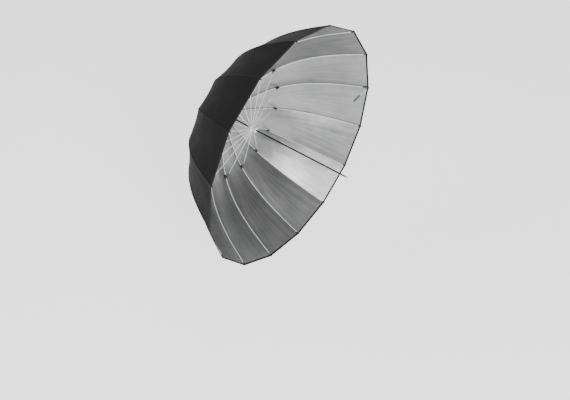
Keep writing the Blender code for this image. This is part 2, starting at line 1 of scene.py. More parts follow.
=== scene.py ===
"""Looks of the deep umbrella reflector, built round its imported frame.

Every piece is in metres in the frame's own axes: the shaft along Y, the canopy open towards -Y.
Pieces of one rib are modelled in that rib's working plane, X away from the shaft, Y along it and
Z across, measured from the rib's crown pivot, and are then turned about the shaft.
"""
import json
import math

import bmesh
import bpy
from mathutils import Matrix, Vector, noise

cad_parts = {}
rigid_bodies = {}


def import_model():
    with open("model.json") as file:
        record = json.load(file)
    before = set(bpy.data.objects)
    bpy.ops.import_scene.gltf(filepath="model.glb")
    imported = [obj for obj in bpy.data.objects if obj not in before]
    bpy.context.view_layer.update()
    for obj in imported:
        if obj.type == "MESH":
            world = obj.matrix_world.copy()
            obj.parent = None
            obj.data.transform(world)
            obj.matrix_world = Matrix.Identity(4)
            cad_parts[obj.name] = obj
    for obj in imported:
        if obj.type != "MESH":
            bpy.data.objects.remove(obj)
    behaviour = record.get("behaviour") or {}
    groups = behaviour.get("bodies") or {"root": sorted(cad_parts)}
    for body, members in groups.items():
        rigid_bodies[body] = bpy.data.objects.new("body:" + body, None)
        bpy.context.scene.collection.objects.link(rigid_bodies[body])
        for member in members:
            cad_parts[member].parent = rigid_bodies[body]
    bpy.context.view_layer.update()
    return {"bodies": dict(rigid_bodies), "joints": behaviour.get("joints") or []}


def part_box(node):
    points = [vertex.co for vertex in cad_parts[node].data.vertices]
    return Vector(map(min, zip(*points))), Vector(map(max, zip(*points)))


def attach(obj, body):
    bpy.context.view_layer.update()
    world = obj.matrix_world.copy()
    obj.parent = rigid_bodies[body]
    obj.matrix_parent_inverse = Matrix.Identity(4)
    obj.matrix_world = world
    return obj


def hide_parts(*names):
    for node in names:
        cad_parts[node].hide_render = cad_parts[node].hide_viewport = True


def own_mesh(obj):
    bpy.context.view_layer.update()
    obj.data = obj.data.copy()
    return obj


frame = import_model()
JOINTS = {joint["name"]: joint for joint in frame["joints"]}

# ---- Places taken from the frame ----
RIB_COUNT = sum(1 for body in frame["bodies"] if body.startswith("rib_"))
CROWN_PIVOT = Vector(JOINTS["rib_01_fold"]["pos_m"])
RUNNER_PIVOT = Vector(JOINTS["stretcher_01_turn"]["pos_m"])
CROWN_Y = CROWN_PIVOT.y
RUNNER_Y = RUNNER_PIVOT.y
LAP = RUNNER_PIVOT.z                # stretcher plane to rib plane
SHAFT_LOW, SHAFT_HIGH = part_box("shaft_tube")
PLUG_LOW, PLUG_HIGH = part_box("shaft_end_plug")
SHAFT_RADIUS = SHAFT_HIGH.x
RUNNER_LOW, RUNNER_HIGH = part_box("runner")
CAP_LOW, CAP_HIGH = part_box("crown_cap")
HALF_GORE = math.pi / RIB_COUNT

# ---- The bent rods, as in the frame ----
RIB_ARC = 0.897                     # crown pivot to hem, along the rod
CLIP_ARC = 0.360                    # crown pivot to clip, along the rod
CROWN_DROOP = math.radians(6.8)
RIB_BEND = 2.26                     # curvature at the clip, 1/m
EAR_DROP = 0.0062                   # rod centre to clip pin
EAR_RADIUS = 0.0034
EAR_HALF_WIDTH = 0.0032
EAR_THICKNESS = 0.0024
CLIP_PIN_RADIUS = 0.0010
RIB_RADIUS = 0.0020
STRETCHER_RADIUS = 0.0018
STRETCHER_SLEEVE_RADIUS = 0.0024
STRETCHER_SLEEVE_LENGTH = 0.0160
CLIP_RADIUS = 0.0040
CLIP_LENGTH = 0.024
TIP_RADIUS = 0.0027
TIP_LENGTH = 0.022
LONG_TIP_LENGTH = 0.040
TIP_CAP_RADIUS = 0.0040
TIP_CAP_LENGTH = 0.0090
TIP_PROUD = 0.0050
BLADE_REACH = 0.0080

# ---- Shaft, crown and runner, as in the frame ----
SHAFT_WALL = 0.0008
BORE_RADIUS = 0.0043
WIRE_RADIUS = 0.0006
GROOVE = 0.0009                     # half the height of the wire's groove
FLANGE_HALF_HEIGHT = 0.0040
SLOT_WIDTH = 0.0018
SLOT_FLOOR = 0.0032                 # slot depth inwards from the pivot
CROWN_RIM = 0.0155
CROWN_HUB_RADIUS = 0.0085
CROWN_HUB_DROP = 0.0100
RUNNER_WIRE = math.hypot(RUNNER_PIVOT.x, LAP)
RUNNER_RIM = RUNNER_HIGH.x
RUNNER_SLEEVE_RADIUS = 0.0110
RUNNER_GRIP_RADIUS = 0.0145
RUNNER_GRIP_LENGTH = 0.0070
CATCH_SLOT_WIDTH = 0.0026
CATCH_SLOT_LENGTH = 0.0072

# ---- Cloth ----
CLOTH_LIFT = 0.0045                 # inner face above the rod's centre
CLOTH_THICKNESS = 0.00025
CLOTH_LAYER_GAP = 0.0001
CLOTH_START_ARC = 0.0090
CANOPY_SAG = 0.0043
HEM_PULL = 0.0008                   # rim drawn inwards between the ribs, on top of the sag
HEM_PULL_REACH = 0.05               # how far in from the rim that pull is felt
PUCKER = 0.0011                     # height of the slack ripples
RIPPLE_RIB_FADE = 6                 # ripples are whole beyond 1/6 of the way from a rib
RIPPLE_HEM_FADE = 0.04              # and this far in from the hem
RIPPLE_CROWN_FADE = 0.2             # and this far out from the crown
SEAM_HALF_WIDTH = 0.0045
SEAM_RAISE = 0.00045
CLOTH_ROWS = 88
CLOTH_COLUMNS = 12                  # each side of the rib
HEM_WIDTH = 0.0085
HEM_OUT = 0.0012
HEM_THICKNESS = 0.0008
HEM_UV_ACROSS = 0.003               # UV step from one edge of the tape's section to the next
HEM_UV_ALONG = 0.01                 # UV step along the tape
STITCH_ROW = 0.0034                 # rows of stitches, each side of the rib
STITCH_HALF_WIDTH = 0.00035
STITCH_PITCH = 0.0036
STITCH_SHARE = 0.62                 # share of the pitch that the thread shows
CLOTH_RADIAN = 0.0007               # length of one radian of the weave's wave; a thread is 2 pi of it
WAVE_UNIT = 0.05                    # the wave texture's own units in one radian

SLOPE_STEPS = 480
WORLD_UP = Vector((0.0, 0.0, 1.0))
WELD = 1e-6                         # vertices closer than this become one


def rib_slope(arc):
    """Slope of a rod below square to the shaft; its curvature peaks at the clip."""
    if arc <= CLIP_ARC:
        return CROWN_DROOP + RIB_BEND * arc ** 2 / (2 * CLIP_ARC)
    left = RIB_ARC - arc
    return CROWN_DROOP + RIB_BEND * (RIB_ARC - left * abs(left) / (RIB_ARC - CLIP_ARC)) / 2


def rib_line():
    """Places along the rod, from the crown pivot, worked out once."""
    step = (RIB_ARC + 0.02) / SLOPE_STEPS
    places = [Vector((0.0, 0.0, 0.0))]
    for i in range(SLOPE_STEPS):
        slope = rib_slope((i + 0.5) * step)
        places.append(places[-1] + step * Vector((math.cos(slope), -math.sin(slope), 0.0)))
    return step, places


LINE_STEP, LINE = rib_line()


def rib_place(arc, lift=0.0):
    """Point beside the rod in its working plane, lifted square to the rod, outwards."""
    whole = min(int(arc / LINE_STEP), len(LINE) - 2)
    share = arc / LINE_STEP - whole
    slope = rib_slope(arc)
    return LINE[whole].lerp(LINE[whole + 1], share) + lift * Vector((math.sin(slope), math.cos(slope), 0.0))


CLIP_PIN = rib_place(CLIP_ARC, -EAR_DROP)
STRETCH = CLIP_PIN + CROWN_PIVOT - RUNNER_PIVOT
STRETCH.z = 0.0


# ---- Places round the shaft ----

def round_shaft(index, place=(0.0, 0.0, 0.0)):
    return Matrix.Rotation(-2 * math.pi * index / RIB_COUNT, 4, "Y") @ Matrix.Translation(place)


def crown_place(index):
    return round_shaft(index, CROWN_PIVOT)


def runner_place(index):
    return round_shaft(index, RUNNER_PIVOT)


def along_shaft(height=0.0):
    """Lays a shape turned about local Z along the shaft."""
    return Matrix.Translation((0.0, height, 0.0)) @ Matrix.Rotation(-math.pi / 2, 4, "X")


# ---- Mesh helpers ----

def mesh_from(bm, name, smooth=40.0):
    """Mesh of a bmesh, welded, smooth but for edges over this many degrees."""
    bmesh.ops.remove_doubles(bm, verts=bm.verts, dist=WELD)
    mesh = bpy.data.meshes.new(name)
    bm.to_mesh(mesh)
    bm.free()
    mesh.shade_smooth()
    mesh.set_sharp_from_angle(angle=math.radians(smooth))
    return mesh


def add_piece(name, mesh, body, material, matrix=Matrix(), stands_for=()):
    piece = bpy.data.objects.new(name, mesh)
    if not mesh.materials:
        mesh.materials.append(material)
    bpy.context.scene.collection.objects.link(piece)
    piece.matrix_world = matrix
    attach(piece, body)
    if stands_for:
        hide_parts(*stands_for)
    return piece


def settled(piece, name):
    """Mesh of an object with its modifiers applied; the object goes."""
    bpy.context.view_layer.update()
    mesh = bpy.data.meshes.new_from_object(piece.evaluated_get(bpy.context.evaluated_depsgraph_get()))
    bpy.data.objects.remove(piece)
    bm = bmesh.new()
    bm.from_mesh(mesh)
    bmesh.ops.remove_doubles(bm, verts=bm.verts, dist=WELD)
    bmesh.ops.recalc_face_normals(bm, faces=bm.faces)
    mesh.name = name
    return mesh_from(bm, name)


def blank(name, data):
    made = bpy.data.objects.new(name, data)
    bpy.context.scene.collection.objects.link(made)
    return made


def turned_mesh(name, profile, steps=64, closed=True, bevel=0.0):
    """Turned shape about local Z; the profile runs down its outer side."""
    mesh = bpy.data.meshes.new(name)
    edges = [(i, i + 1) for i in range(len(profile) - 1)]
    if closed:
        edges.append((len(profile) - 1, 0))
    mesh.from_pydata([(radius, 0.0, height) for radius, height in profile], edges, [])
    made = blank(name, mesh)
    screw = made.modifiers.new("turn", "SCREW")
    screw.steps = steps
    screw.render_steps = steps
    screw.use_merge_vertices = True
    screw.merge_threshold = 0.00001
    if bevel:
        add_bevel(made, bevel)
    return settled(made, name)


def add_bevel(made, width, segments=3):
    rounding = made.modifiers.new("round", "BEVEL")
    rounding.width = width
    rounding.segments = segments
    rounding.limit_method = "ANGLE"
    rounding.angle_limit = math.radians(35)
    rounding.use_clamp_overlap = True


def rod_mesh(name, points, radii, sides=14):
    """Round rod through points, with its own radius at each, and closed ends."""
    curve = bpy.data.curves.new(name, "CURVE")
    curve.dimensions = "3D"
    curve.bevel_depth = 1.0
    curve.bevel_resolution = (sides - 4) // 2
    curve.use_fill_caps = True
    spline = curve.splines.new("POLY")
    spline.points.add(len(points) - 1)
    for place, point, radius in zip(spline.points, points, radii):
        place.co = (*point, 1.0)
        place.radius = radius
    return settled(blank(name, curve), name)


def plate_mesh(name, outlines, thickness, bevel=0.0):
    """Flat plate in the working plane; an inner outline is a hole."""
    curve = bpy.data.curves.new(name, "CURVE")
    curve.dimensions = "2D"
    curve.fill_mode = "BOTH"
    curve.extrude = thickness / 2 - bevel
    curve.bevel_depth = bevel
    curve.bevel_resolution = 1
    curve.offset = -bevel
    for outline in outlines:
        spline = curve.splines.new("POLY")
        spline.points.add(len(outline) - 1)
        spline.use_cyclic_u = True
        for place, (x, y) in zip(spline.points, outline):
            place.co = (x, y, 0.0, 1.0)
    return settled(blank(name, curve), name)


def circle(radius, sides, centre=(0.0, 0.0)):
    turns = [2 * math.pi * i / sides for i in range(sides)]
    return [(centre[0] + radius * math.cos(a), centre[1] + radius * math.sin(a)) for a in turns]


def eye_outline(centre, heading, length, half_width, radius, sides=28):
    """Round eye at centre with a straight tail along heading."""
    start = math.asin(half_width / radius)
    sweep = 2 * math.pi - 2 * start
    points = []
    for i in range(sides + 1):
        angle = heading + start + sweep * i / sides
        points.append((centre[0] + radius * math.cos(angle), centre[1] + radius * math.sin(angle)))
    along = Vector((math.cos(heading), math.sin(heading)))
    across = Vector((-along.y, along.x))
    for side in (-1, 1):
        corner = Vector(centre[:2]) + along * length + across * half_width * side
        points.append((corner.x, corner.y))
    return points


def joined(name, meshes):
    """Several closed shapes as one mesh."""
    bm = bmesh.new()
    for mesh in meshes:
        bm.from_mesh(mesh)
    return mesh_from(bm, name)


def straight_mesh(name, start, end, profile, sides=16):
    """Round bar from start to end; profile gives (share of the way, radius)."""
    start, end = Vector(start), Vector(end)
    return rod_mesh(name, [start.lerp(end, share) for share, _ in profile], [r for _, r in profile], sides)


# ---- Materials ----

class Shader:
    """A Principled material and a few short ways to add nodes to it."""

    def __init__(self, name, colour, roughness, metallic=0.0, **sockets):
        self.material = bpy.data.materials.new(name)
        self.material.use_nodes = True
        self.nodes = self.material.node_tree.nodes
        self.links = self.material.node_tree.links
        self.surface = self.nodes["Principled BSDF"]
        self.set("Base Color", (*colour, 1.0))
        self.set("Roughness", roughness)
        self.set("Metallic", metallic)
        for socket, value in sockets.items():
            self.set(socket.replace("_", " "), value)

    def set(self, socket, value):
        self.surface.inputs[socket].default_value = value

    def add(self, kind, **inputs):
        node = self.nodes.new(kind)
        for socket, value in inputs.items():
            self.feed(node, socket.replace("_", " "), value)
        return node

    def feed(self, node, socket, value):
        if isinstance(value, bpy.types.NodeSocket):
            self.links.new(value, node.inputs[socket])
        else:
            node.inputs[socket].default_value = value

    def math(self, operation, first, second=0.0, clamp=False):
        node = self.nodes.new("ShaderNodeMath")
        node.operation = operation
        node.use_clamp = clamp
        self.feed(node, 0, first)
        self.feed(node, 1, second)
        return node.outputs[0]

    def ramp(self, value, low, high, low_colour, high_colour):
        node = self.add("ShaderNodeMapRange", Value=value, From_Min=low, From_Max=high)
        mix = self.nodes.new("ShaderNodeMix")
        mix.data_type = "RGBA"
        self.feed(mix, 0, node.outputs[0])
        self.feed(mix, 6, (*low_colour, 1.0))
        self.feed(mix, 7, (*high_colour, 1.0))
        return mix.outputs[2]

    def span(self, value, low, high, to_low, to_high):
        return self.add("ShaderNodeMapRange", Value=value, From_Min=low, From_Max=high,
                        To_Min=to_low, To_Max=to_high).outputs[0]

    def noise(self, vector, scale, detail=4.0, rough=0.55):
        return self.add("ShaderNodeTexNoise", Vector=vector, Scale=scale, Detail=detail,
                        Roughness=rough).outputs[0]

    def scaled(self, vector, factors):
        node = self.add("ShaderNodeMapping", Vector=vector)
        node.inputs["Scale"].default_value = factors
        return node.outputs[0]

    def wave(self, vector, scale, axis):
        node = self.add("ShaderNodeTexWave", Vector=vector, Scale=scale)
        node.bands_direction = axis
        return node.outputs["Fac"]

    def place(self):
        return self.add("ShaderNodeTexCoord").outputs["Object"]

    def cloth_place(self):
        """Metres across (X) and along (Y) the cloth, from its UV map."""
        return self.add("ShaderNodeTexCoord").outputs["UV"]

    def bump(self, height, distance, strength=1.0, under=None):
        node = self.add("ShaderNodeBump", Height=height, Distance=distance, Strength=strength)
        if under is not None:
            self.links.new(under, node.inputs["Normal"])
        return node.outputs[0]

    def link(self, socket, value):
        self.links.new(value, self.surface.inputs[socket])


def weave(shader, vector, radian):
    """Height of a plain weave whose waves pass one radian in this many metres."""
    turns = WAVE_UNIT / radian
    warp = shader.wave(vector, turns, "X")
    weft = shader.wave(vector, turns, "Y")
    return shader.math("MULTIPLY", warp, weft)


def seam_stitches(shader, vector):
    """1 on the two rows of stitches beside a rib seam, else 0."""
    split = shader.add("ShaderNodeSeparateXYZ", Vector=vector)
    off = shader.math("ABSOLUTE", split.outputs[0])
    off = shader.math("ABSOLUTE", shader.math("SUBTRACT", off, STITCH_ROW))
    row = shader.math("LESS_THAN", off, STITCH_HALF_WIDTH)
    dash = shader.math("FRACT", shader.math("MULTIPLY", split.outputs[1], 1 / STITCH_PITCH))
    return shader.math("MULTIPLY", row, shader.math("LESS_THAN", dash, STITCH_SHARE))


def black_cloth():
    shader = Shader("black_polyester", (0.006, 0.006, 0.0062), 0.75, Specular_IOR_Level=0.08)
    cloth = shader.cloth_place()
    world = shader.place()
    cloudy = shader.noise(world, 9.0, 5.0)
    stitches = seam_stitches(shader, cloth)
    colour = shader.ramp(cloudy, 0.3, 0.7, (0.0048, 0.0048, 0.005), (0.0070, 0.0070, 0.0072))
    mix = shader.nodes.new("ShaderNodeMix")
    mix.data_type = "RGBA"
    shader.feed(mix, 0, stitches)
    shader.feed(mix, 6, colour)
    shader.feed(mix, 7, (0.010, 0.010, 0.0104, 1.0))
    shader.link("Base Color", mix.outputs[2])
    shader.link("Roughness", shader.span(cloudy, 0.3, 0.7, 0.66, 0.82))
    threads = shader.bump(weave(shader, cloth, CLOTH_RADIAN), 0.00006, 0.6)
    raised = shader.bump(stitches, 0.0003, 0.8, threads)
    shader.link("Normal", shader.bump(shader.noise(world, 30.0, 3.0), 0.0006, 0.35, raised))
    return shader.material


def silver_lining():
    """Silver coating rolled on along the cloth: soft streaks run from crown to hem."""
    shader = Shader("silver_coated_lining", (0.28, 0.28, 0.28), 0.36, 0.9, Anisotropic=0.35)
    cloth = shader.cloth_place()
    world = shader.place()
    streaks = shader.noise(shader.scaled(cloth, (55.0, 2.2, 1.0)), 1.0, 6.0, 0.6)
    fine = shader.noise(shader.scaled(cloth, (420.0, 9.0, 1.0)), 1.0, 3.0, 0.6)
    cloudy = shader.noise(world, 6.0, 4.0)
    mixed = shader.math("ADD", shader.math("MULTIPLY", streaks, 0.55), shader.math("MULTIPLY", cloudy, 0.45))
    shader.link("Base Color", shader.ramp(mixed, 0.35, 0.65, (0.20, 0.205, 0.21), (0.36, 0.36, 0.355)))
    shader.link("Roughness", shader.span(streaks, 0.3, 0.7, 0.28, 0.44))
    threads = shader.bump(weave(shader, cloth, CLOTH_RADIAN), 0.00004, 0.4)
    brushed = shader.bump(fine, 0.0002, 0.25, threads)
    shader.link("Normal", shader.bump(shader.noise(world, 22.0, 3.0), 0.0012, 0.35, brushed))
    return shader.material


def tape_cloth(name, dark, light, radian=0.0011, sheen=0.02):
    """Ribbed tape or webbing whose ribs pass one radian in this many metres."""
    shader = Shader(name, dark, 0.8, Specular_IOR_Level=0.15, Sheen_Weight=sheen)
    cloth = shader.cloth_place()
    ribbed = shader.wave(cloth, WAVE_UNIT / radian, "Y")
    colour = shader.ramp(shader.noise(shader.place(), 160.0, 4.0), 0.3, 0.7, dark, light)
    shader.link("Base Color", colour)
    shader.link("Normal", shader.bump(ribbed, 0.0001, 0.7))
    return shader.material


def glass_fibre():
    shader = Shader("white_glass_fibre", (0.8, 0.81, 0.8), 0.32, Coat_Weight=0.25, Coat_Roughness=0.2)
    place = shader.place()
    grain = shader.noise(shader.scaled(place, (60.0, 60.0, 900.0)), 1.0, 3.0)
    shader.link("Base Color", shader.ramp(grain, 0.3, 0.7, (0.74, 0.75, 0.74), (0.86, 0.87, 0.86)))
    shader.link("Roughness", shader.span(grain, 0.3, 0.7, 0.26, 0.42))
    shader.link("Normal", shader.bump(grain, 0.00005, 0.4))
    return shader.material


def painted_rod():
    shader = Shader("white_painted_rod", (0.84, 0.85, 0.86), 0.28, Coat_Weight=0.3, Coat_Roughness=0.15)
    specks = shader.noise(shader.place(), 700.0, 3.0)
    shader.link("Base Color", shader.ramp(specks, 0.25, 0.6, (0.78, 0.79, 0.8), (0.87, 0.88, 0.89)))
    shader.link("Roughness", shader.span(specks, 0.3, 0.7, 0.22, 0.38))
    shader.link("Normal", shader.bump(specks, 0.00001, 0.25))
    return shader.material


def moulded_plastic(name, colour, lighter, roughness):
    shader = Shader(name, colour, roughness)
    grain = shader.noise(shader.place(), 1600.0, 3.0)
    cloudy = shader.noise(shader.place(), 60.0, 3.0)
    shader.link("Base Color", shader.ramp(cloudy, 0.3, 0.7, colour, lighter))
    shader.link("Roughness", shader.span(grain, 0.3, 0.7, roughness - 0.08, roughness + 0.1))
    shader.link("Normal", shader.bump(grain, 0.00004, 0.6))
    return shader.material


def drawn_metal(name, colour, lighter, roughness, metallic, axis_scale):
    """Metal with fine marks drawn along one axis."""
    shader = Shader(name, colour, roughness, metallic)
    marks = shader.noise(shader.scaled(shader.place(), axis_scale), 1.0, 4.0)
    shader.link("Base Color", shader.ramp(marks, 0.3, 0.7, colour, lighter))
    shader.link("Roughness", shader.span(marks, 0.3, 0.7, roughness - 0.08, roughness + 0.1))
    shader.link("Normal", shader.bump(marks, 0.00003, 0.5))
    return shader.material


BLACK_CLOTH = black_cloth()
SILVER = silver_lining()
HEM_TAPE = tape_cloth("black_hem_tape", (0.006, 0.006, 0.0064), (0.011, 0.011, 0.0114))
STRAP_DARK = tape_cloth("dark_strap_webbing", (0.07, 0.085, 0.10), (0.12, 0.14, 0.16), 0.0016)
STRAP_PALE = tape_cloth("pale_strap_pile", (0.30, 0.36, 0.42), (0.42, 0.48, 0.54), 0.0009, 0.15)
GLASS_FIBRE = glass_fibre()
PAINTED_ROD = painted_rod()
BLACK_PLASTIC = moulded_plastic("black_plastic", (0.016, 0.016, 0.017), (0.028, 0.028, 0.029), 0.42)
WHITE_PLASTIC = moulded_plastic("white_nylon", (0.76, 0.77, 0.77), (0.83, 0.84, 0.84), 0.38)
GREY_PLASTIC = moulded_plastic("grey_plastic", (0.30, 0.31, 0.32), (0.38, 0.39, 0.4), 0.45)
BLACK_TUBE = drawn_metal("black_anodised_tube", (0.022, 0.022, 0.024), (0.04, 0.04, 0.043), 0.32, 0.7,
                         (900.0, 900.0, 30.0))
STEEL = drawn_metal("drawn_steel", (0.5, 0.51, 0.52), (0.64, 0.65, 0.66), 0.3, 1.0, (1200.0, 1200.0, 1200.0))


# ---- Canopy ----

def ripple(point):
    """Height of the slack ripples at a place on the cloth, the same for both its neighbours."""
    wide = noise.noise(Vector((point.x * 9.0, point.y * 5.0, point.z * 9.0)))
    narrow = noise.noise(Vector((point.x * 26.0 + 7.0, point.y * 12.0, point.z * 26.0)))
    return PUCKER * (wide + 0.45 * narrow)


def cloth_place(index, arc, across, half, lift, seam=0.0):
    """Point of panel number index in its working plane, across metres from the rib."""
    place = rib_place(arc, lift)
    slope = rib_slope(arc)
    share = min(abs(across) / half, 1.0)
    side = -1.0 if across < 0 else 1.0
    radius = place.x + CROWN_PIVOT.x
    sag = CANOPY_SAG * math.sin(math.pi * arc / RIB_ARC) * (1 - (1 - share) ** 2)
    sag += HEM_PULL * math.exp(-((RIB_ARC - arc) / HEM_PULL_REACH) ** 2) * (1 - (1 - share) ** 2)
    middle = radius * math.cos(HALF_GORE) - sag * math.sin(slope)
    from_middle = radius * math.sin(HALF_GORE) * (1 - share)
    x = middle * math.cos(HALF_GORE) + from_middle * math.sin(HALF_GORE)
    z = middle * math.sin(HALF_GORE) - from_middle * math.cos(HALF_GORE)
    point = Vector((x - CROWN_PIVOT.x, place.y - sag * math.cos(slope), side * z))
    world = crown_place(index) @ point
    rise = ripple(world) * min(1.0, RIPPLE_RIB_FADE * share)
    rise = rise * min(1.0, (RIB_ARC - arc) / RIPPLE_HEM_FADE) * min(1.0, arc / RIPPLE_CROWN_FADE)
    rise += seam * SEAM_RAISE * (1.0 if abs(across) < SEAM_HALF_WIDTH else 0.0)
    turn = share * HALF_GORE
    flat = math.sin(slope)
    return point + rise * Vector((flat * math.cos(turn), math.cos(slope), side * flat * math.sin(turn)))


def cloth_columns(half):
    """Distances from the rib, close together over the seam; both sides of the rib alike."""
    seam = SEAM_HALF_WIDTH * min(1.0, half / 0.03)
    near = [0.0, seam * 0.5, seam * 0.98, seam * 1.12]
    run = half - near[-1]
    rest = CLOTH_COLUMNS - len(near) + 1
    far = [near[-1] + run * i / rest for i in range(1, rest + 1)]
    right = near + far
    return [-x for x in reversed(right[1:])] + right


def cloth_mesh(name, index, lift, end_arc, seam=0.0):
    """Open sheet of one panel, with a UV map in metres; Solidify gives it its thickness."""
    bm = bmesh.new()
    columns = 2 * CLOTH_COLUMNS
    bmesh.ops.create_grid(bm, x_segments=CLOTH_ROWS, y_segments=columns, size=1.0)
    flat = {}
    for vert in bm.verts:
        row = round((vert.co.x + 1) / 2 * CLOTH_ROWS)
        column = round((vert.co.y + 1) / 2 * columns)
        arc = CLOTH_START_ARC + (end_arc - CLOTH_START_ARC) * row / CLOTH_ROWS
        half = (rib_place(arc, lift).x + CROWN_PIVOT.x) * math.sin(HALF_GORE)
        across = cloth_columns(half)[column]
        flat[vert.index] = (across, arc)
        vert.co = cloth_place(index, arc, across, half, lift, seam)
    layer = bm.loops.layers.uv.new("cloth")
    for face in bm.faces:
        for loop in face.loops:
            loop[layer].uv = flat[loop.vert.index]
    bm.normal_update()
    if sum(face.normal.y for face in bm.faces) < 0:
        bmesh.ops.reverse_faces(bm, faces=bm.faces)
    return mesh_from(bm, name, 60.0)


def thicken(piece, thickness):
    """Gives a sheet its thickness, outwards, and keeps the result as its mesh."""
    shell = piece.modifiers.new("thickness", "SOLIDIFY")
    shell.thickness = thickness
    shell.offset = 1.0
    shell.use_even_offset = True
    bpy.context.view_layer.update()
    made = bpy.data.meshes.new_from_object(piece.evaluated_get(bpy.context.evaluated_depsgraph_get()))
    made.name = piece.data.name
    made.set_sharp_from_angle(angle=math.radians(40))
    piece.modifiers.clear()
    piece.data = made


def hem_mesh(name, index):
    """Tape folded over the rim: a flat closed band that holds the edges of both cloths."""
    inner = CLOTH_LIFT - HEM_THICKNESS
    outer = CLOTH_LIFT + 2 * CLOTH_THICKNESS + CLOTH_LAYER_GAP + HEM_THICKNESS
    section = [(-HEM_WIDTH, inner), (HEM_OUT * 0.5, inner), (HEM_OUT, inner * 0.6 + outer * 0.4),
               (HEM_OUT, inner * 0.4 + outer * 0.6), (HEM_OUT * 0.5, outer), (-HEM_WIDTH, outer)]
    bm = bmesh.new()
    layer = bm.loops.layers.uv.new("cloth")
    rings = []
    steps = 2 * CLOTH_COLUMNS
    for i in range(steps + 1):
        share = 2 * i / steps - 1
        ring = []
        for beyond, lift in section:
            arc = RIB_ARC + beyond
            half = (rib_place(arc, lift).x + CROWN_PIVOT.x) * math.sin(HALF_GORE)
            ring.append(bm.verts.new(cloth_place(index, arc, share * half, half, lift)))
        rings.append(ring)
    count = len(section)
    for i in range(steps):
        for j in range(count):
            corners = rings[i][j], rings[i + 1][j], rings[i + 1][(j + 1) % count], rings[i][(j + 1) % count]
            face = bm.faces.new(corners)
            for loop, across in zip(face.loops, (j, j, j + 1, j + 1)):
                along = i if loop.vert in rings[i] else i + 1
                loop[layer].uv = (across * HEM_UV_ACROSS, along * HEM_UV_ALONG)
    bm.faces.new(rings[0])
    bm.faces.new(reversed(rings[-1]))
    bmesh.ops.recalc_face_normals(bm, faces=bm.faces)
    return mesh_from(bm, name, 50.0)


def fold(piece):
    """Gives the piece its own copy of its mesh."""
    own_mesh(piece)


def make_canopy():
    outer_lift = CLOTH_LIFT + CLOTH_THICKNESS + CLOTH_LAYER_GAP
    for index in range(RIB_COUNT):
        number = f"{index + 1:02d}"
        body = f"rib_{number}"
        place = crown_place(index)
        outer = add_piece(f"canopy_outer_{number}", cloth_mesh("outer", index, outer_lift, RIB_ARC, 1.0),
                          body, BLACK_CLOTH, place, [f"canopy_panel_{number}"])
        lining = add_piece(f"canopy_lining_{number}", cloth_mesh("lining", index, CLOTH_LIFT, RIB_ARC),
                           body, SILVER, place)
        hem = add_piece(f"canopy_hem_{number}", hem_mesh("hem", index), body, HEM_TAPE, place)
        for cloth in (outer, lining):
            thicken(cloth, CLOTH_THICKNESS)
        for piece in (outer, lining, hem):
            fold(piece)


# ---- Ribs ----

def rib_rod_mesh():
    steps = 96
    start, end = BLADE_REACH, RIB_ARC + TIP_PROUD - 0.002
    points = [rib_place(start + (end - start) * i / steps) for i in range(steps + 1)]
    return rod_mesh("rib_rod", points, [RIB_RADIUS] * len(points))


def rib_end_mesh():
    """Pressed steel blade with its eyelet, and the ferrule crimped on the rod."""
    blade = plate_mesh("blade", [
        eye_outline((0.0, 0.0), -CROWN_DROOP, BLADE_REACH + 0.003, 0.0014, 0.0024), circle(0.0009, 20)],
        0.0012, 0.0002)
    heading = Vector((math.cos(CROWN_DROOP), -math.sin(CROWN_DROOP), 0.0))
    swell, neck = RIB_RADIUS + 0.00025, RIB_RADIUS + 0.00005
    ferrule = straight_mesh("ferrule", heading * (BLADE_REACH - 0.0003), rib_place(BLADE_REACH + 0.014), [
        (0.0, 0.0012), (0.04, swell), (0.35, swell), (0.4, neck), (0.46, neck), (0.52, swell), (0.95, swell),
        (1.0, neck)])
    return joined("rib_end", [blade, ferrule])


def rib_clip_mesh():
    """Black clip round the rod: ribbed sleeve, ear, and the stretcher's pin with its head."""
    slope = rib_slope(CLIP_ARC)
    along = Vector((math.cos(slope), -math.sin(slope), 0.0))
    middle = rib_place(CLIP_ARC)
    half = CLIP_LENGTH / 2
    profile = [(0.0, RIB_RADIUS + 0.0001), (0.03, CLIP_RADIUS - 0.0002), (0.06, CLIP_RADIUS)]
    for groove in (0.16, 0.26, 0.74, 0.84):
        profile += [(groove - 0.02, CLIP_RADIUS), (groove, CLIP_RADIUS - 0.0004),
                    (groove + 0.02, CLIP_RADIUS)]
    profile += [(0.94, CLIP_RADIUS), (0.97, CLIP_RADIUS - 0.0002), (1.0, RIB_RADIUS + 0.0001)]
    sleeve = straight_mesh("sleeve", middle - along * half, middle + along * half, profile, 20)
    up = middle - CLIP_PIN
    outline = eye_outline(CLIP_PIN, math.atan2(up.y, up.x), EAR_DROP, EAR_HALF_WIDTH, EAR_RADIUS)
    ear = plate_mesh("ear", [outline], EAR_THICKNESS, 0.0004)
    head = LAP + 0.0013
    top = head + 0.0007
    pin = straight_mesh("pin", CLIP_PIN, CLIP_PIN + WORLD_UP * top, [
        (0.0, CLIP_PIN_RADIUS), (head / top, CLIP_PIN_RADIUS), (head / top + 0.004, 0.0021), (0.97, 0.0021),
        (1.0, 0.0015)], 20)
    return joined("rib_clip", [sleeve, ear, pin])


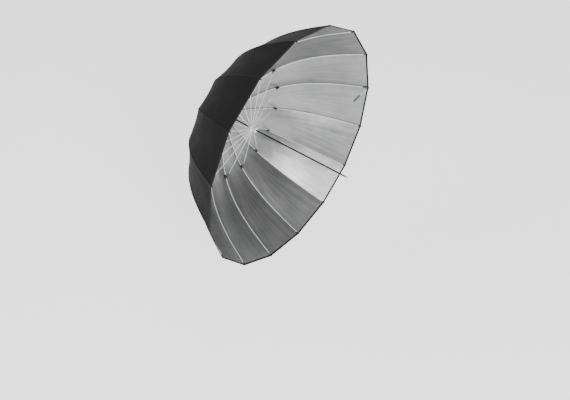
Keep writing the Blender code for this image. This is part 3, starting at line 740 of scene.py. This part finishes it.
def rib_tip_mesh(length):
    """Black sleeve over the rod's end, with the rounded cap that the hem is sewn to."""
    end = RIB_ARC + TIP_PROUD
    cap = end - TIP_CAP_LENGTH
    round_cap = [(0.0, TIP_RADIUS), (0.04, 0.9 * TIP_CAP_RADIUS), (0.12, TIP_CAP_RADIUS),
                 (0.5, TIP_CAP_RADIUS),
                 (0.66, 0.97 * TIP_CAP_RADIUS), (0.8, 0.86 * TIP_CAP_RADIUS), (0.91, 0.65 * TIP_CAP_RADIUS),
                 (0.98, 0.35 * TIP_CAP_RADIUS), (1.0, 0.1 * TIP_CAP_RADIUS)]
    shape = [(end - length, RIB_RADIUS + 0.0001), (end - length + 0.0006, TIP_RADIUS - 0.0002),
             (end - length + 0.0014, TIP_RADIUS), (cap - 0.001, TIP_RADIUS)]
    shape += [(cap + TIP_CAP_LENGTH * share, radius) for share, radius in round_cap]
    return rod_mesh("rib_tip", [rib_place(arc) for arc, _ in shape], [radius for _, radius in shape], 20)


def make_ribs():
    rod = rib_rod_mesh()
    end = rib_end_mesh()
    clip = rib_clip_mesh()
    tip = rib_tip_mesh(TIP_LENGTH)
    long_tip = rib_tip_mesh(LONG_TIP_LENGTH)
    for index in range(RIB_COUNT):
        number = f"{index + 1:02d}"
        body = f"rib_{number}"
        place = crown_place(index)
        add_piece(f"rib_rod_{number}", rod, body, GLASS_FIBRE, place, [f"rib_{number}"])
        add_piece(f"rib_end_{number}", end, body, STEEL, place)
        add_piece(f"rib_clip_{number}", clip, body, BLACK_PLASTIC, place)
        sleeve = long_tip if index == 0 else tip
        add_piece(f"rib_tip_{number}", sleeve, body, BLACK_PLASTIC, place)


# ---- Stretchers ----

def stretcher_rod_mesh():
    along = STRETCH.normalized()
    ends = 0.0075
    length = STRETCH.length - 2 * ends
    radius = STRETCHER_RADIUS
    return straight_mesh("stretcher_rod", along * ends, STRETCH - along * ends, [
        (0.0, radius * 0.7), (0.0007 / length, radius), (0.25, radius), (0.5, radius), (0.75, radius),
        (1 - 0.0007 / length, radius), (1.0, radius * 0.7)], 18)


def stretcher_blade_mesh():
    """Flattened blade at the runner."""
    heading = math.atan2(STRETCH.y, STRETCH.x)
    return plate_mesh("blade", [
        eye_outline((0.0, 0.0), heading, BLADE_REACH + 0.005, 0.0011, 0.0026), circle(0.0011, 20)],
        0.0012, 0.0002)


def stretcher_end_mesh():
    """Black sleeve over the rod's outer end, with the flat eye that the clip's pin holds."""
    along = STRETCH.normalized()
    heading = math.atan2(STRETCH.y, STRETCH.x)
    eye = plate_mesh("eye", [
        eye_outline(STRETCH, heading + math.pi, BLADE_REACH + 0.005, 0.0012, 0.0027),
        circle(CLIP_PIN_RADIUS + 0.0004, 20, STRETCH[:2])], 0.0018, 0.0003)
    end = STRETCH - along * (BLADE_REACH - 0.0003)
    radius = STRETCHER_SLEEVE_RADIUS
    sleeve = straight_mesh("sleeve", end - along * STRETCHER_SLEEVE_LENGTH, end, [
        (0.0, radius - 0.0005), (0.03, radius - 0.0001), (0.06, radius), (0.5, radius), (0.94, radius),
        (0.97, radius - 0.0001), (1.0, radius - 0.0006)], 20)
    return joined("stretcher_end", [eye, sleeve])


def make_stretchers():
    rod = stretcher_rod_mesh()
    blade = stretcher_blade_mesh()
    end = stretcher_end_mesh()
    for index in range(RIB_COUNT):
        number = f"{index + 1:02d}"
        body = f"stretcher_{number}"
        place = runner_place(index)
        add_piece(f"stretcher_rod_{number}", rod, body, PAINTED_ROD, place,
                  [f"stretcher_{number}"])
        add_piece(f"stretcher_blade_{number}", blade, body, STEEL, place)
        add_piece(f"stretcher_end_{number}", end, body, BLACK_PLASTIC, place)


# ---- Shaft, crown and runner ----

def cut(name, mesh, cutter):
    """The mesh with another closed mesh taken out of it."""
    made = blank(name, mesh)
    tool = blank("cutter", cutter)
    step = made.modifiers.new("cut", "BOOLEAN")
    step.operation = "DIFFERENCE"
    step.solver = "EXACT"
    step.object = tool
    result = settled(made, name)
    bpy.data.objects.remove(tool)
    return result


def slots_mesh(across, floor, reach, height):
    """One radial box for each rib, this far to one side of the rib's plane."""
    bm = bmesh.new()
    size = Matrix.Diagonal((reach - floor, height, SLOT_WIDTH, 1.0))
    for index in range(RIB_COUNT):
        place = round_shaft(index, ((reach + floor) / 2, 0.0, across))
        bmesh.ops.create_cube(bm, size=1.0, matrix=place @ size)
    mesh = mesh_from(bm, "slots")
    mesh.transform(along_shaft().inverted())
    return mesh


def ring_mesh(radius):
    """Hinge wire bent to a ring about local Z."""
    return turned_mesh("ring", [(radius + x, y) for x, y in circle(WIRE_RADIUS, 12)], 128)


def pin_mesh(node):
    """Round pin with chamfered ends in the box of a CAD pin, about the box's middle."""
    low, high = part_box(node)
    middle = (low + high) / 2
    radius = (high.y - low.y) / 2
    reach = (high.x - low.x) / 2
    edge = 0.0002 / (2 * reach)
    mesh = straight_mesh(node, (-reach, 0.0, 0.0), (reach, 0.0, 0.0), [
        (0.0, radius * 0.75), (edge, radius), (0.5, radius), (1 - edge, radius), (1.0, radius * 0.75)], 24)
    return mesh, Matrix.Translation(middle)


def shaft_mesh():
    low, high = SHAFT_LOW.y, SHAFT_HIGH.y
    inner = SHAFT_RADIUS - SHAFT_WALL
    tube = turned_mesh("tube", [
        (SHAFT_RADIUS - 0.0002, high), (SHAFT_RADIUS, high - 0.0002), (SHAFT_RADIUS, low + 0.0002),
        (SHAFT_RADIUS - 0.0002, low), (inner, low), (inner, high)])
    bm = bmesh.new()
    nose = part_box("catch_lever")[1].y
    size = Matrix.Diagonal((CATCH_SLOT_WIDTH, CATCH_SLOT_LENGTH, 4 * SHAFT_WALL, 1.0))
    middle = (0.0, nose - CATCH_SLOT_LENGTH / 2 + 0.0006, SHAFT_RADIUS)
    bmesh.ops.create_cube(bm, size=1.0, matrix=along_shaft().inverted() @ Matrix.Translation(middle) @ size)
    return cut("tube", tube, mesh_from(bm, "slot"))


def plug_mesh():
    inner, flange = SHAFT_RADIUS - SHAFT_WALL - 0.0003, PLUG_HIGH.x
    end, top = SHAFT_LOW.y - 0.0003, PLUG_HIGH.y
    return turned_mesh("plug", [
        (0.0, top), (inner, top), (inner, end), (flange - 0.0002, end), (flange, end - 0.0002),
        (flange, PLUG_LOW.y + 0.0016), (flange - 0.0002, PLUG_LOW.y + 0.0009),
        (flange - 0.0006, PLUG_LOW.y + 0.0003), (flange - 0.0012, PLUG_LOW.y), (0.0012, PLUG_LOW.y),
        (0.0009, PLUG_LOW.y + 0.0005), (0.0, PLUG_LOW.y + 0.0005)], closed=False)


def flange_profile(rim, wire):
    """Outer side of a slotted flange, with the groove that its wire lies in."""
    half, chamfer = FLANGE_HALF_HEIGHT, 0.0005
    groove = wire - GROOVE
    return [(BORE_RADIUS + chamfer, half), (rim - chamfer, half), (rim, half - chamfer), (rim, GROOVE),
            (groove, GROOVE), (groove, -GROOVE), (rim, -GROOVE), (rim, chamfer - half),
            (rim - chamfer, -half)]


def notch_mesh():
    hub, drop = CROWN_HUB_RADIUS, CROWN_HUB_DROP
    body = turned_mesh("notch", flange_profile(CROWN_RIM, CROWN_PIVOT.x) + [
        (hub + 0.0004, -FLANGE_HALF_HEIGHT), (hub, -FLANGE_HALF_HEIGHT - 0.0004), (hub, 0.0005 - drop),
        (hub - 0.0005, -drop), (BORE_RADIUS, -drop), (BORE_RADIUS, FLANGE_HALF_HEIGHT - 0.0005)], 96)
    return cut("notch", body, slots_mesh(0.0, CROWN_PIVOT.x - SLOT_FLOOR, CROWN_RIM + 0.002, 0.012))


def runner_mesh():
    """Runner with its slotted flange, long sleeve and ribbed grip."""
    sleeve, grip = RUNNER_SLEEVE_RADIUS, RUNNER_GRIP_RADIUS
    bottom = RUNNER_LOW.y - RUNNER_Y
    top = bottom + RUNNER_GRIP_LENGTH
    profile = flange_profile(RUNNER_RIM, RUNNER_WIRE) + [
        (sleeve + 0.0008, -FLANGE_HALF_HEIGHT), (sleeve, -FLANGE_HALF_HEIGHT - 0.0008)]
    for share in (0.3, 0.4, 0.5, 0.6, 0.7):
        height = -FLANGE_HALF_HEIGHT * (1 - share) + top * share
        profile += [(sleeve, height + 0.0009), (sleeve - 0.0005, height + 0.0005),
                    (sleeve - 0.0005, height - 0.0005), (sleeve, height - 0.0009)]
    profile += [(sleeve, top), (grip - 0.0010, top - 0.0012), (grip, top - 0.0022), (grip, bottom + 0.0010),
                (grip - 0.0010, bottom), (BORE_RADIUS + 0.0005, bottom), (BORE_RADIUS, bottom + 0.0005),
                (BORE_RADIUS, FLANGE_HALF_HEIGHT - 0.0005)]
    body = turned_mesh("runner", profile, 96)
    return cut("runner", body, slots_mesh(LAP, RUNNER_PIVOT.x - SLOT_FLOOR, RUNNER_RIM + 0.002, 0.012))


def cap_mesh():
    """Thin dished cap over the cloth with a rounded knob over the shaft's end."""
    under = FLANGE_HALF_HEIGHT + 0.0003
    top = under + 0.0018
    edge = CAP_LOW.y - CROWN_Y
    rim = CAP_HIGH.x
    knob, knob_top = 0.0075, CAP_HIGH.y - CROWN_Y
    bore_top = SHAFT_HIGH.y - CROWN_Y + 0.0003
    rounding = [(knob - 0.002 + 0.002 * math.sin(a), knob_top - 0.002 + 0.002 * math.cos(a))
                for a in (math.pi / 2 * i / 6 for i in range(7))]
    return turned_mesh("cap", [(0.0, knob_top)] + rounding + [
        (knob, top + 0.0010), (knob + 0.0003, top + 0.0003), (knob + 0.0010, top), (CROWN_RIM, top),
        (rim - 0.0006, edge + 0.0012), (rim, edge + 0.0008), (rim, edge + 0.0002), (rim - 0.0003, edge),
        (CROWN_RIM + 0.0003, under), (BORE_RADIUS, under), (BORE_RADIUS, bore_top), (0.0, bore_top)],
        96, closed=False)


def catch_mesh():
    """The catch's own shape with its edges rounded."""
    made = blank("catch", bpy.data.objects["catch_lever"].data.copy())
    made.data.materials.clear()
    add_bevel(made, 0.00012, 2)
    return settled(made, "catch")


def make_shaft():
    add_piece("shaft_tube_fine", shaft_mesh(), "shaft", BLACK_TUBE, along_shaft(),
              ["shaft_tube"])
    add_piece("shaft_plug_fine", plug_mesh(), "shaft", GREY_PLASTIC, along_shaft(),
              ["shaft_end_plug"])
    add_piece("crown_notch_fine", notch_mesh(), "shaft", GREY_PLASTIC, along_shaft(CROWN_Y),
              ["crown_notch"])
    add_piece("crown_cap_fine", cap_mesh(), "shaft", BLACK_PLASTIC, along_shaft(CROWN_Y),
              ["crown_cap"])
    add_piece("crown_wire_fine", ring_mesh(CROWN_PIVOT.x), "shaft", STEEL,
              along_shaft(CROWN_Y), ["crown_wire"])
    for node in ("crown_pin", "runner_stop_pin", "catch_pin"):
        mesh, place = pin_mesh(node)
        add_piece(f"{node}_fine", mesh, "shaft", STEEL, place, [node])
    catch = bpy.data.objects["catch_lever"].matrix_world.copy()
    add_piece("catch_lever_fine", catch_mesh(), "catch", STEEL, catch, ["catch_lever"])


def make_runner():
    add_piece("runner_fine", runner_mesh(), "runner", WHITE_PLASTIC, along_shaft(RUNNER_Y),
              ["runner"])
    add_piece("runner_wire_fine", ring_mesh(RUNNER_WIRE), "runner", STEEL,
              along_shaft(RUNNER_Y), ["runner_wire"])


# ---- Closure strap ----

STRAP_START = Vector((0.884, 0.014))       # along the rib, across from it
STRAP_END = Vector((0.826, 0.105))
STRAP_LENGTH = (STRAP_END - STRAP_START).length
STRAP_STEPS = 40
STRAP_COLUMNS = 6
PILE_END = 0.52                            # shares of the strap's length
WEBBING_START = 0.46
PILE_LIFT = 0.0024                         # off the lining
WEBBING_LIFT = 0.0034
PILE_WIDTH = 0.0185
PILE_TAPER = 0.0015                        # narrower by this over the whole strap
WEBBING_WIDTH = 0.0105


def strap_mesh(name, start, end, width_at, lift):
    """Part of the strap, from one share of its length to another, on the inside of the cloth."""
    run = (STRAP_END - STRAP_START).normalized()
    bm = bmesh.new()
    bmesh.ops.create_grid(bm, x_segments=STRAP_STEPS, y_segments=STRAP_COLUMNS, size=1.0)
    flat = {}
    for vert in bm.verts:
        share = start + (end - start) * (vert.co.x + 1) / 2
        side = vert.co.y / 2 * width_at(share)
        middle = STRAP_START.lerp(STRAP_END, share)
        arc = middle.x + run.y * side
        across = -(middle.y - run.x * side)
        wave = 0.0006 * math.sin(7.0 * share) + 0.0005 * math.sin(17.0 * share + 90.0 * side)
        flat[vert.index] = (side, share * STRAP_LENGTH)
        half = (rib_place(arc, CLOTH_LIFT).x + CROWN_PIVOT.x) * math.sin(HALF_GORE)
        vert.co = cloth_place(0, arc, across, half, CLOTH_LIFT - lift - wave * min(1.0, 3 * share))
    layer = bm.loops.layers.uv.new("cloth")
    for face in bm.faces:
        for loop in face.loops:
            loop[layer].uv = flat[loop.vert.index]
    bm.normal_update()
    if sum(face.normal.y for face in bm.faces) < 0:
        bmesh.ops.reverse_faces(bm, faces=bm.faces)
    return mesh_from(bm, name, 60.0)


def pile_width(share):
    return PILE_WIDTH - PILE_TAPER * share


def webbing_width(share):
    """Narrow webbing, cut round at its free end."""
    left = 1.0 - share
    return WEBBING_WIDTH * math.sqrt(min(1.0, max(left, 0.004) / 0.05))


def make_strap():
    place = crown_place(0)
    pile = add_piece("strap_pile", strap_mesh("pile", 0.0, PILE_END, pile_width, PILE_LIFT), "rib_01",
                     STRAP_PALE, place, ["closure_strap"])
    webbing = add_piece("strap_webbing", strap_mesh("webbing", WEBBING_START, 1.0, webbing_width, WEBBING_LIFT),
                        "rib_01", STRAP_DARK, place)
    for piece, thickness in ((pile, 0.0011), (webbing, 0.0009)):
        thicken(piece, thickness)
        fold(piece)


# ---- Floor, light and camera ----

FLOOR_Z = -1.35
BRIGHT_SKY = 1.15
DIM_SKY = 0.2
DIM_SIDE = Vector((0.6, -0.8, 0.25))     # what the lower gores reflect near the crown
VIEW_AZIMUTH = math.radians(-50.53)
VIEW_ELEVATION = math.radians(47.56)
VIEW_ROLL = math.radians(-1.80)
VIEW_DISTANCE = 3.446
VIEW_TARGET = Vector((-0.1491, 0.1895, -0.2276))
VIEW_LENS = 40.5


def make_floor():
    bm = bmesh.new()
    bmesh.ops.create_grid(bm, x_segments=1, y_segments=1, size=30.0)
    floor = blank("floor", mesh_from(bm, "floor"))
    floor.location.z = FLOOR_Z
    shader = Shader("pale_floor", (0.93, 0.93, 0.93), 0.8, Specular_IOR_Level=0.1,
                    Emission_Color=(1.0, 1.0, 1.0, 1.0), Emission_Strength=1.0)
    floor.data.materials.append(shader.material)


def add_area(name, place, aim, size, power):
    light = bpy.data.lights.new(name, "AREA")
    light.shape = "DISK"
    light.size = size
    light.energy = power
    lamp = blank(name, light)
    lamp.location = place
    lamp.rotation_euler = (Vector(aim) - Vector(place)).to_track_quat("-Z", "Y").to_euler()


def make_light():
    """Even soft light, dimmer from one side, with a large key beside the camera and a weak fill."""
    world = bpy.data.worlds.new("studio")
    world.use_nodes = True
    nodes, links = world.node_tree.nodes, world.node_tree.links
    background = nodes["Background"]
    background.inputs[0].default_value = (1.0, 1.0, 1.0, 1.0)
    towards = nodes.new("ShaderNodeTexCoord")
    dot = nodes.new("ShaderNodeVectorMath")
    dot.operation = "DOT_PRODUCT"
    dot.inputs[1].default_value = DIM_SIDE.normalized()
    dim = nodes.new("ShaderNodeMapRange")
    dim.interpolation_type = "SMOOTHSTEP"
    dim.inputs["From Min"].default_value = 0.3
    dim.inputs["From Max"].default_value = 1.0
    dim.inputs["To Min"].default_value = BRIGHT_SKY
    dim.inputs["To Max"].default_value = DIM_SKY
    links.new(towards.outputs["Generated"], dot.inputs[0])
    links.new(dot.outputs["Value"], dim.inputs["Value"])
    seen = nodes.new("ShaderNodeLightPath")
    plain = nodes.new("ShaderNodeMix")
    plain.inputs["B"].default_value = BRIGHT_SKY
    links.new(seen.outputs["Is Camera Ray"], plain.inputs["Factor"])
    links.new(dim.outputs[0], plain.inputs["A"])
    links.new(plain.outputs["Result"], background.inputs[1])
    bpy.context.scene.world = world
    middle = (0.0, 0.35, 0.0)
    add_area("key", (-2.6, -3.2, 3.0), middle, 2.8, 230.0)
    add_area("fill", (-3.0, 2.6, 3.4), middle, 2.6, 60.0)


def make_camera():
    camera = bpy.data.cameras.new("camera")
    camera.lens = VIEW_LENS
    camera.sensor_width = 36.0
    camera.sensor_fit = "HORIZONTAL"
    eye = blank("camera", camera)
    forward = Vector((
        -math.sin(VIEW_AZIMUTH) * math.cos(VIEW_ELEVATION),
        math.cos(VIEW_AZIMUTH) * math.cos(VIEW_ELEVATION), -math.sin(VIEW_ELEVATION)))
    turn = forward.to_track_quat("-Z", "Y").to_matrix().to_4x4()
    roll = Matrix.Rotation(-VIEW_ROLL, 4, forward)
    eye.matrix_world = Matrix.Translation(VIEW_TARGET - forward * VIEW_DISTANCE) @ roll @ turn
    bpy.context.scene.camera = eye


make_floor()
make_light()
make_camera()
make_canopy()
make_ribs()
make_stretchers()
make_shaft()
make_runner()
make_strap()
